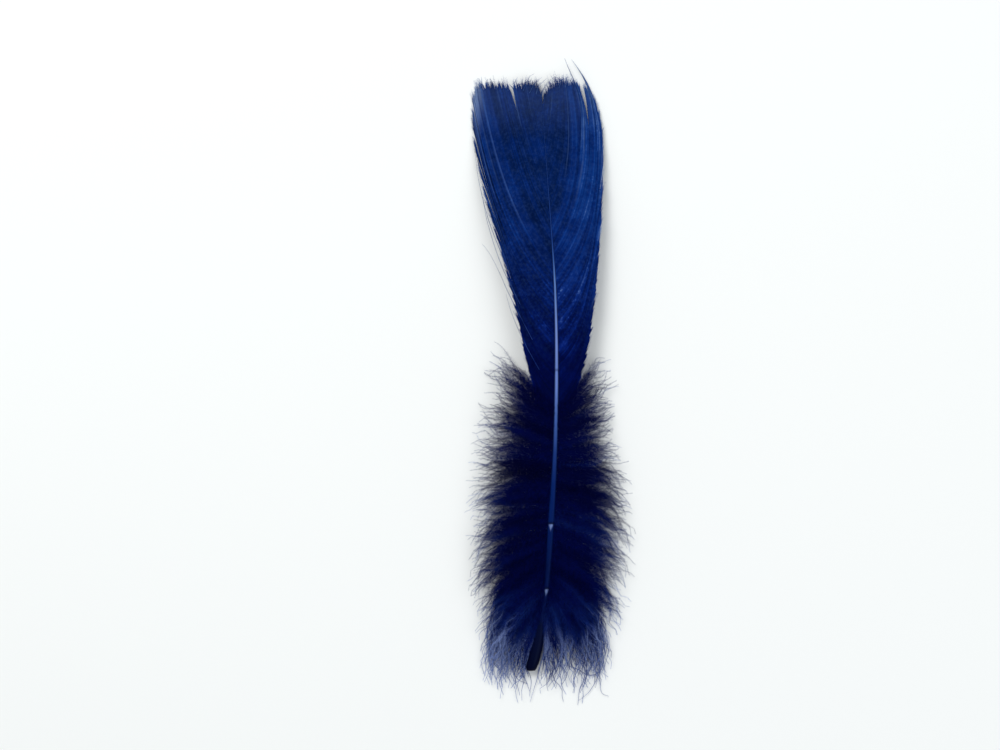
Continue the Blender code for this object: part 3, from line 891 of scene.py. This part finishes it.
# Where the down thins out beside the bare quill, along Y, and how much thicker and lighter its rami
# are there, and how much shorter its barbules.
THIN_FROM, THIN_TO = -0.0440, -0.0560
THIN_THICKER, THIN_TONE, THIN_SHORTER = 0.9, 0.14, 0.52
# How light the dye is at the root and how much lighter at the tip. The other rows say how much
# lighter it gets between two places along Y, for the rami and for the barbules.
DOWN_TONE, DOWN_TIP_TONE = 0.18, 0.56
RAMI_LIGHTER = ((0.08, -0.0180, -0.0340), (0.14, -0.0400, -0.0470))
BARBULES_LIGHTER = ((0.30, -0.0485, -0.0560),)
UNDER_QUILL = 0.25 * MM  # how far barbs reach in below the quill's round sides
# Waves along a barb: how long and how deep.
DOWN_WAVES = ((12 * MM, 0.85 * MM), (4.5 * MM, 0.38 * MM))
# Long single barbs that cross one another below the rest: their routes in plan, in mm.
LONG_BARBS = (
    ((-5.2, -52.0), (-4.8, -57.0), (-3.9, -60.2), (-3.5, -62.0), (-4.0, -64.2)),
    ((-0.6, -50.0), (-1.0, -55.5), (-2.3, -60.0), (-3.1, -62.7), (-3.7, -65.4)),
    ((8.8, -48.5), (10.4, -53.5), (10.7, -57.5), (9.7, -59.6), (7.9, -60.0),
     (6.1, -58.9), (3.4, -58.1), (1.0, -58.4), (-1.7, -60.1)),
    ((-10.4, -50.0), (-12.0, -55.0), (-11.0, -57.6), (-8.6, -60.0), (-7.4, -62.1)),
    ((-7.0, -54.0), (-6.8, -59.7), (-5.8, -61.1), (-4.3, -61.8)),
    ((8.0, -50.0), (9.0, -56.5), (7.9, -59.7), (6.1, -63.0), (5.6, -66.0)),
    ((6.6, -50.0), (9.2, -55.0), (10.2, -59.2), (8.2, -63.0), (5.8, -65.1)),
    ((9.0, -52.0), (9.8, -57.0), (10.3, -61.2), (10.6, -63.6), (11.8, -64.2)),
    ((0.4, -52.0), (0.8, -59.4), (1.4, -62.4)),
    ((3.0, -52.0), (2.2, -59.4), (2.5, -62.4)),
    ((-8.8, -52.0), (-9.6, -58.5), (-10.8, -61.8)),
    ((-6.0, -52.0), (-5.4, -58.0), (-4.8, -61.0), (-3.6, -63.4)),
    ((-3.0, -48.0), (-4.6, -53.5), (-5.0, -58.5), (-4.4, -61.8)),
    ((0.0, -49.0), (-0.8, -53.5), (-1.2, -58.0), (0.0, -61.2)),
)
LONG_RADIUS = 0.09 * MM
LONG_BARBULES = 0.55 * MM
LONG_WAVE = 0.14 * MM
LONG_TONE, LONG_TIP_TONE = 0.74, 0.16


def dyed_down():
    """Down fibres of dyed keratin: matt, almost black where they lie thick, and a clearer, greyer
    blue towards their tips, where light gets through."""
    material, tree, shader = new_material("dyed_down")
    marks = add(tree, "Attribute", attribute_name="marks")
    marks = add(tree, "SeparateColor", {"Color": marks})
    dye = add(tree, "ValToRGB", {"Fac": marks.outputs["Red"]}, (
        (0.0, "#000028"), (0.4, "#01084a"), (0.7, "#12286c"), (1.0, "#7d8fc2"),
    ))
    fibres = add(tree, "TexNoise", {
        "Vector": add(tree, "TexCoord").outputs["Object"], "Scale": 1 / (0.8 * MM), "Detail": 3.0,
    })
    fibres = add(tree, "MapRange", {"Value": fibres, "To Min": 0.6, "To Max": 1.4})
    dyed = add(tree, "Mix", {
        "Factor": 1.0, "A": dye, "B": fibres,
    }, data_type="RGBA", blend_type="MULTIPLY")
    feed(tree, shader, {
        "Base Color": dyed, "Roughness": 0.7, "IOR": 1.54,
        "Specular IOR Level": 0.06, "Specular Tint": linear("#8fb0f0"),
    })
    return material


def beside_quill(plan, side):
    """Moves points in plan out from the bare quill, so that barbs lie beside it."""
    bend, _, radius = smooth(SHAFT, plan[..., 1]).transpose(2, 0, 1)
    away = (plan[..., 0] - bend) * side
    least = (radius - UNDER_QUILL) * step_up(plan[..., 1], -0.0400, -0.0430)
    least = least * step_up(plan[..., 1], QUILL_END - 1.5 * MM, QUILL_END)
    pushed = np.where(away < 2 * least, least + np.maximum(away, 0) / 2, away)
    return np.stack([bend + side * pushed, plan[..., 1]], -1)


def make_down(name, table, side, layer, material, rng):
    """One layer of down on one side: the barbs' rami and their barbules."""
    _, _, _, count, first, last, low_tip, high_tip, low_arch, high_arch, length = layer
    own = np.linspace(first, last, count) + rng.normal(0, DOWN_SCATTER, count)
    shares = np.linspace(0, 1, DOWN_STEPS)
    lock = np.arange(count) // LOCK_BARBS
    lock_count = lock[-1] + 1
    middle = np.array([own[lock == k].mean() for k in range(lock_count)])[lock]
    lock_reach = rng.uniform(*LOCK_REACH, lock_count)[lock]
    lock_wander = rng.normal(0, LOCK_WANDER, lock_count)[lock]
    lock_arch = rng.uniform(0, 1, lock_count)[lock]
    lock_tone = np.clip(rng.normal(0, 0.10, lock_count), -0.2, 0.1)[lock]
    reach = np.minimum(length * lock_reach * rng.uniform(*BARB_REACH, count), LONGEST)
    reach *= 1 - SHORTER * step_up(own, SHORT_FROM, SHORT_TO) * rng.uniform(0, 1, count)
    share = shares * reach[:, None]
    # Barbs draw together in their lock, and wander more and more towards their tips.
    drawn = LOCK_DRAW * (middle - own)[:, None] * step_up(share, 0.25, 0.9)
    wander = (lock_wander + rng.normal(0, BARB_WANDER, count))[:, None] * share ** 1.5
    # One that would wander past the table's ends turns back there.
    lowest, highest = min(row[0] for row in table), max(row[0] for row in table)
    roots = lowest + np.abs(own[:, None] + drawn + wander - lowest)
    plan = on_barbs(table, highest - np.abs(highest - roots), share)
    square = right_of(unit(np.gradient(plan, axis=1)))
    run = run_of(plan)
    wave = np.zeros(share.shape)
    for wavelength, depth in DOWN_WAVES:
        turn = rng.uniform(0, 2 * math.pi, (count, 1))
        stretch = wavelength * rng.uniform(0.7, 1.4, (count, 1))
        most = depth * rng.uniform(0.4, 1.3, (count, 1))
        wave += most * np.sin(2 * math.pi * run / stretch + turn)
    plan = beside_quill(plan + square * (wave * step_up(share, 0.05, 0.8))[..., None], side)
    at_shaft = smooth(SHAFT, own)[:, 1:2]
    tip = rng.uniform(low_tip, high_tip, (count, 1))
    arch = low_arch + (high_arch - low_arch) * (0.6 * lock_arch + 0.4 * rng.uniform(0, 1, count))
    height = at_shaft + (tip - at_shaft) * step_up(share, 0, 1)
    height += arch[:, None] * np.sin(math.pi * np.minimum(share, 1))
    height += 0.2 * MM * np.sin(share * 14 + rng.uniform(0, 6, (count, 1))) * step_up(share, 0, 0.4)
    lines = np.concatenate([plan, np.maximum(height, DOWN_LEAST)[..., None]], -1)
    # Where the down thins out, rami are stronger beside their barbules and show one by one.
    y = plan[..., 1]
    thin = step_up(y, THIN_FROM, THIN_TO)
    points, faces = tubes(lines, RAMUS_RADIUS * (1.2 - 0.8 * shares) * (1 + THIN_THICKER * thin))
    tone = DOWN_TONE + DOWN_TIP_TONE * step_up(share, 0.35, 1.05)
    tone = tone + (lock_tone + rng.normal(0, 0.11, count))[:, None]
    tone += sum(lighter * step_up(y, start, end) for lighter, start, end in RAMI_LIGHTER)
    tone = np.clip(tone + THIN_TONE * thin, 0.0, 1.0)
    paler = sum(lighter * step_up(y, start, end) for lighter, start, end in BARBULES_LIGHTER)
    paler = np.clip(tone + paler, 0.0, 1.0)
    # Barbules are long near the shaft and short towards the barb's tip.
    size = BARBULE_LENGTH * (0.16 + 0.84 * step_up(1 - shares, 0.02, 0.55))
    size = size * (1 - THIN_SHORTER * thin)
    new_piece(name, *with_barbules(points, faces, toned(tone), barbules_on(
        lines, toned(paler), BARBULE_SPACE, np.full(count, 0.5 * MM), size, BARBULE_WIDTH, rng
    )), material)


def make_long_barbs(material, rng):
    """Single barbs that lie on the surface below the rest, thin and with short barbules."""
    plan = np.array([curve_through(route, WISP_STEPS) for route in LONG_BARBS])
    shares = np.linspace(0, 1, WISP_STEPS)
    wave = np.sin(shares * rng.uniform(9, 18, (len(plan), 1)) + rng.uniform(0, 6, (len(plan), 1)))
    plan[..., 0] += LONG_WAVE * wave
    # They come down to the surface from between the barbs above.
    height = rng.uniform(0.2, 0.5, (len(plan), 1)) * MM + 1.0 * MM * step_up(shares, 0.5, 0.0)
    lines = np.concatenate([plan, height[..., None]], -1)
    alike = np.ones((len(lines), 1))
    points, faces = tubes(lines, LONG_RADIUS * (1.1 - shares) ** 0.5 * alike)
    marks = toned((LONG_TONE + LONG_TIP_TONE * shares) * alike)
    size = LONG_BARBULES * (1.1 - shares) * alike
    new_piece("down_long", *with_barbules(points, faces, marks, barbules_on(
        lines, marks, BARBULE_SPACE, np.zeros(len(lines)), size, SHORT_BARBULE_WIDTH, rng
    )), material)


down_fibres = dyed_down()
seed = 20
for layer in DOWN_LAYERS:
    for name, table, side in (("left", layer[1], -1), ("right", layer[2], 1)):
        seed += 1
        rng = np.random.default_rng(seed)
        make_down(f"down_{layer[0]}_{name}", table, side, layer, down_fibres, rng)
make_long_barbs(down_fibres, np.random.default_rng(31))


# The floor. A sheet of matt white board, far larger than the view, that the feather lies on.
FLOOR_HALF = 1.2


def white_board():
    """Matt white board: nearly white, with a faint tooth."""
    material, tree, shader = new_material("white_board")
    place = add(tree, "TexCoord").outputs["Object"]
    tooth = add(tree, "TexNoise", {"Vector": place, "Scale": 1 / (0.6 * MM), "Detail": 3.0})
    bump = add(tree, "Bump", {"Height": tooth, "Strength": 0.05, "Distance": 0.05 * MM})
    feed(tree, shader, {"Base Color": linear("#f2f4f2"), "Normal": bump, "Roughness": 0.9})
    return material


board = bpy.data.meshes.new("floor")
board.from_pydata(
    [(-FLOOR_HALF, -FLOOR_HALF, 0), (FLOOR_HALF, -FLOOR_HALF, 0),
     (FLOOR_HALF, FLOOR_HALF, 0), (-FLOOR_HALF, FLOOR_HALF, 0)],
    [], [(0, 1, 2, 3)],
)
board.materials.append(white_board())
floor = new_object("floor", board)


# The light. A large soft box above the tip's left, a second one opposite it, and a pale room.
def soft_box(name, place, size, power, colour):
    light = bpy.data.lights.new(name, "AREA")
    light.shape = "SQUARE"
    light.size = size
    light.energy = power
    light.color = linear(colour)[:3]
    lamp = new_object(name, light)
    lamp.location = place
    lamp.rotation_euler = (-Vector(place)).to_track_quat("-Z", "Y").to_euler()


soft_box("soft_box_key", (-0.28, 0.42, 0.62), 0.40, 3.9, "#ffffff")
soft_box("soft_box_fill", (0.45, -0.20, 0.60), 0.60, 2.2, "#f6faff")
room = bpy.data.worlds.new("pale_room")
room.use_nodes = True
feed(room.node_tree, room.node_tree.nodes["Background"], {
    "Color": linear("#f4f6f8"), "Strength": 0.46,
})
bpy.context.scene.world = room
bpy.context.scene.view_settings.view_transform = "Standard"


# The camera looks straight down. The picture is 1000 by 750 and shows 200 by 150 mm of the floor,
# and the frame's origin lies right of its middle.
PICTURE_WIDTH = 1000
ORIGIN_RIGHT = 49  # pixels
VIEW_WIDTH = 0.200
CAMERA_HEIGHT = 0.60
lens = bpy.data.cameras.new("camera")
lens.sensor_width = 36.0
lens.lens = lens.sensor_width * CAMERA_HEIGHT / VIEW_WIDTH
lens.clip_start = 0.01
camera = new_object("camera", lens)
camera.location = (-ORIGIN_RIGHT * VIEW_WIDTH / PICTURE_WIDTH, 0.0, CAMERA_HEIGHT)
bpy.context.scene.camera = camera
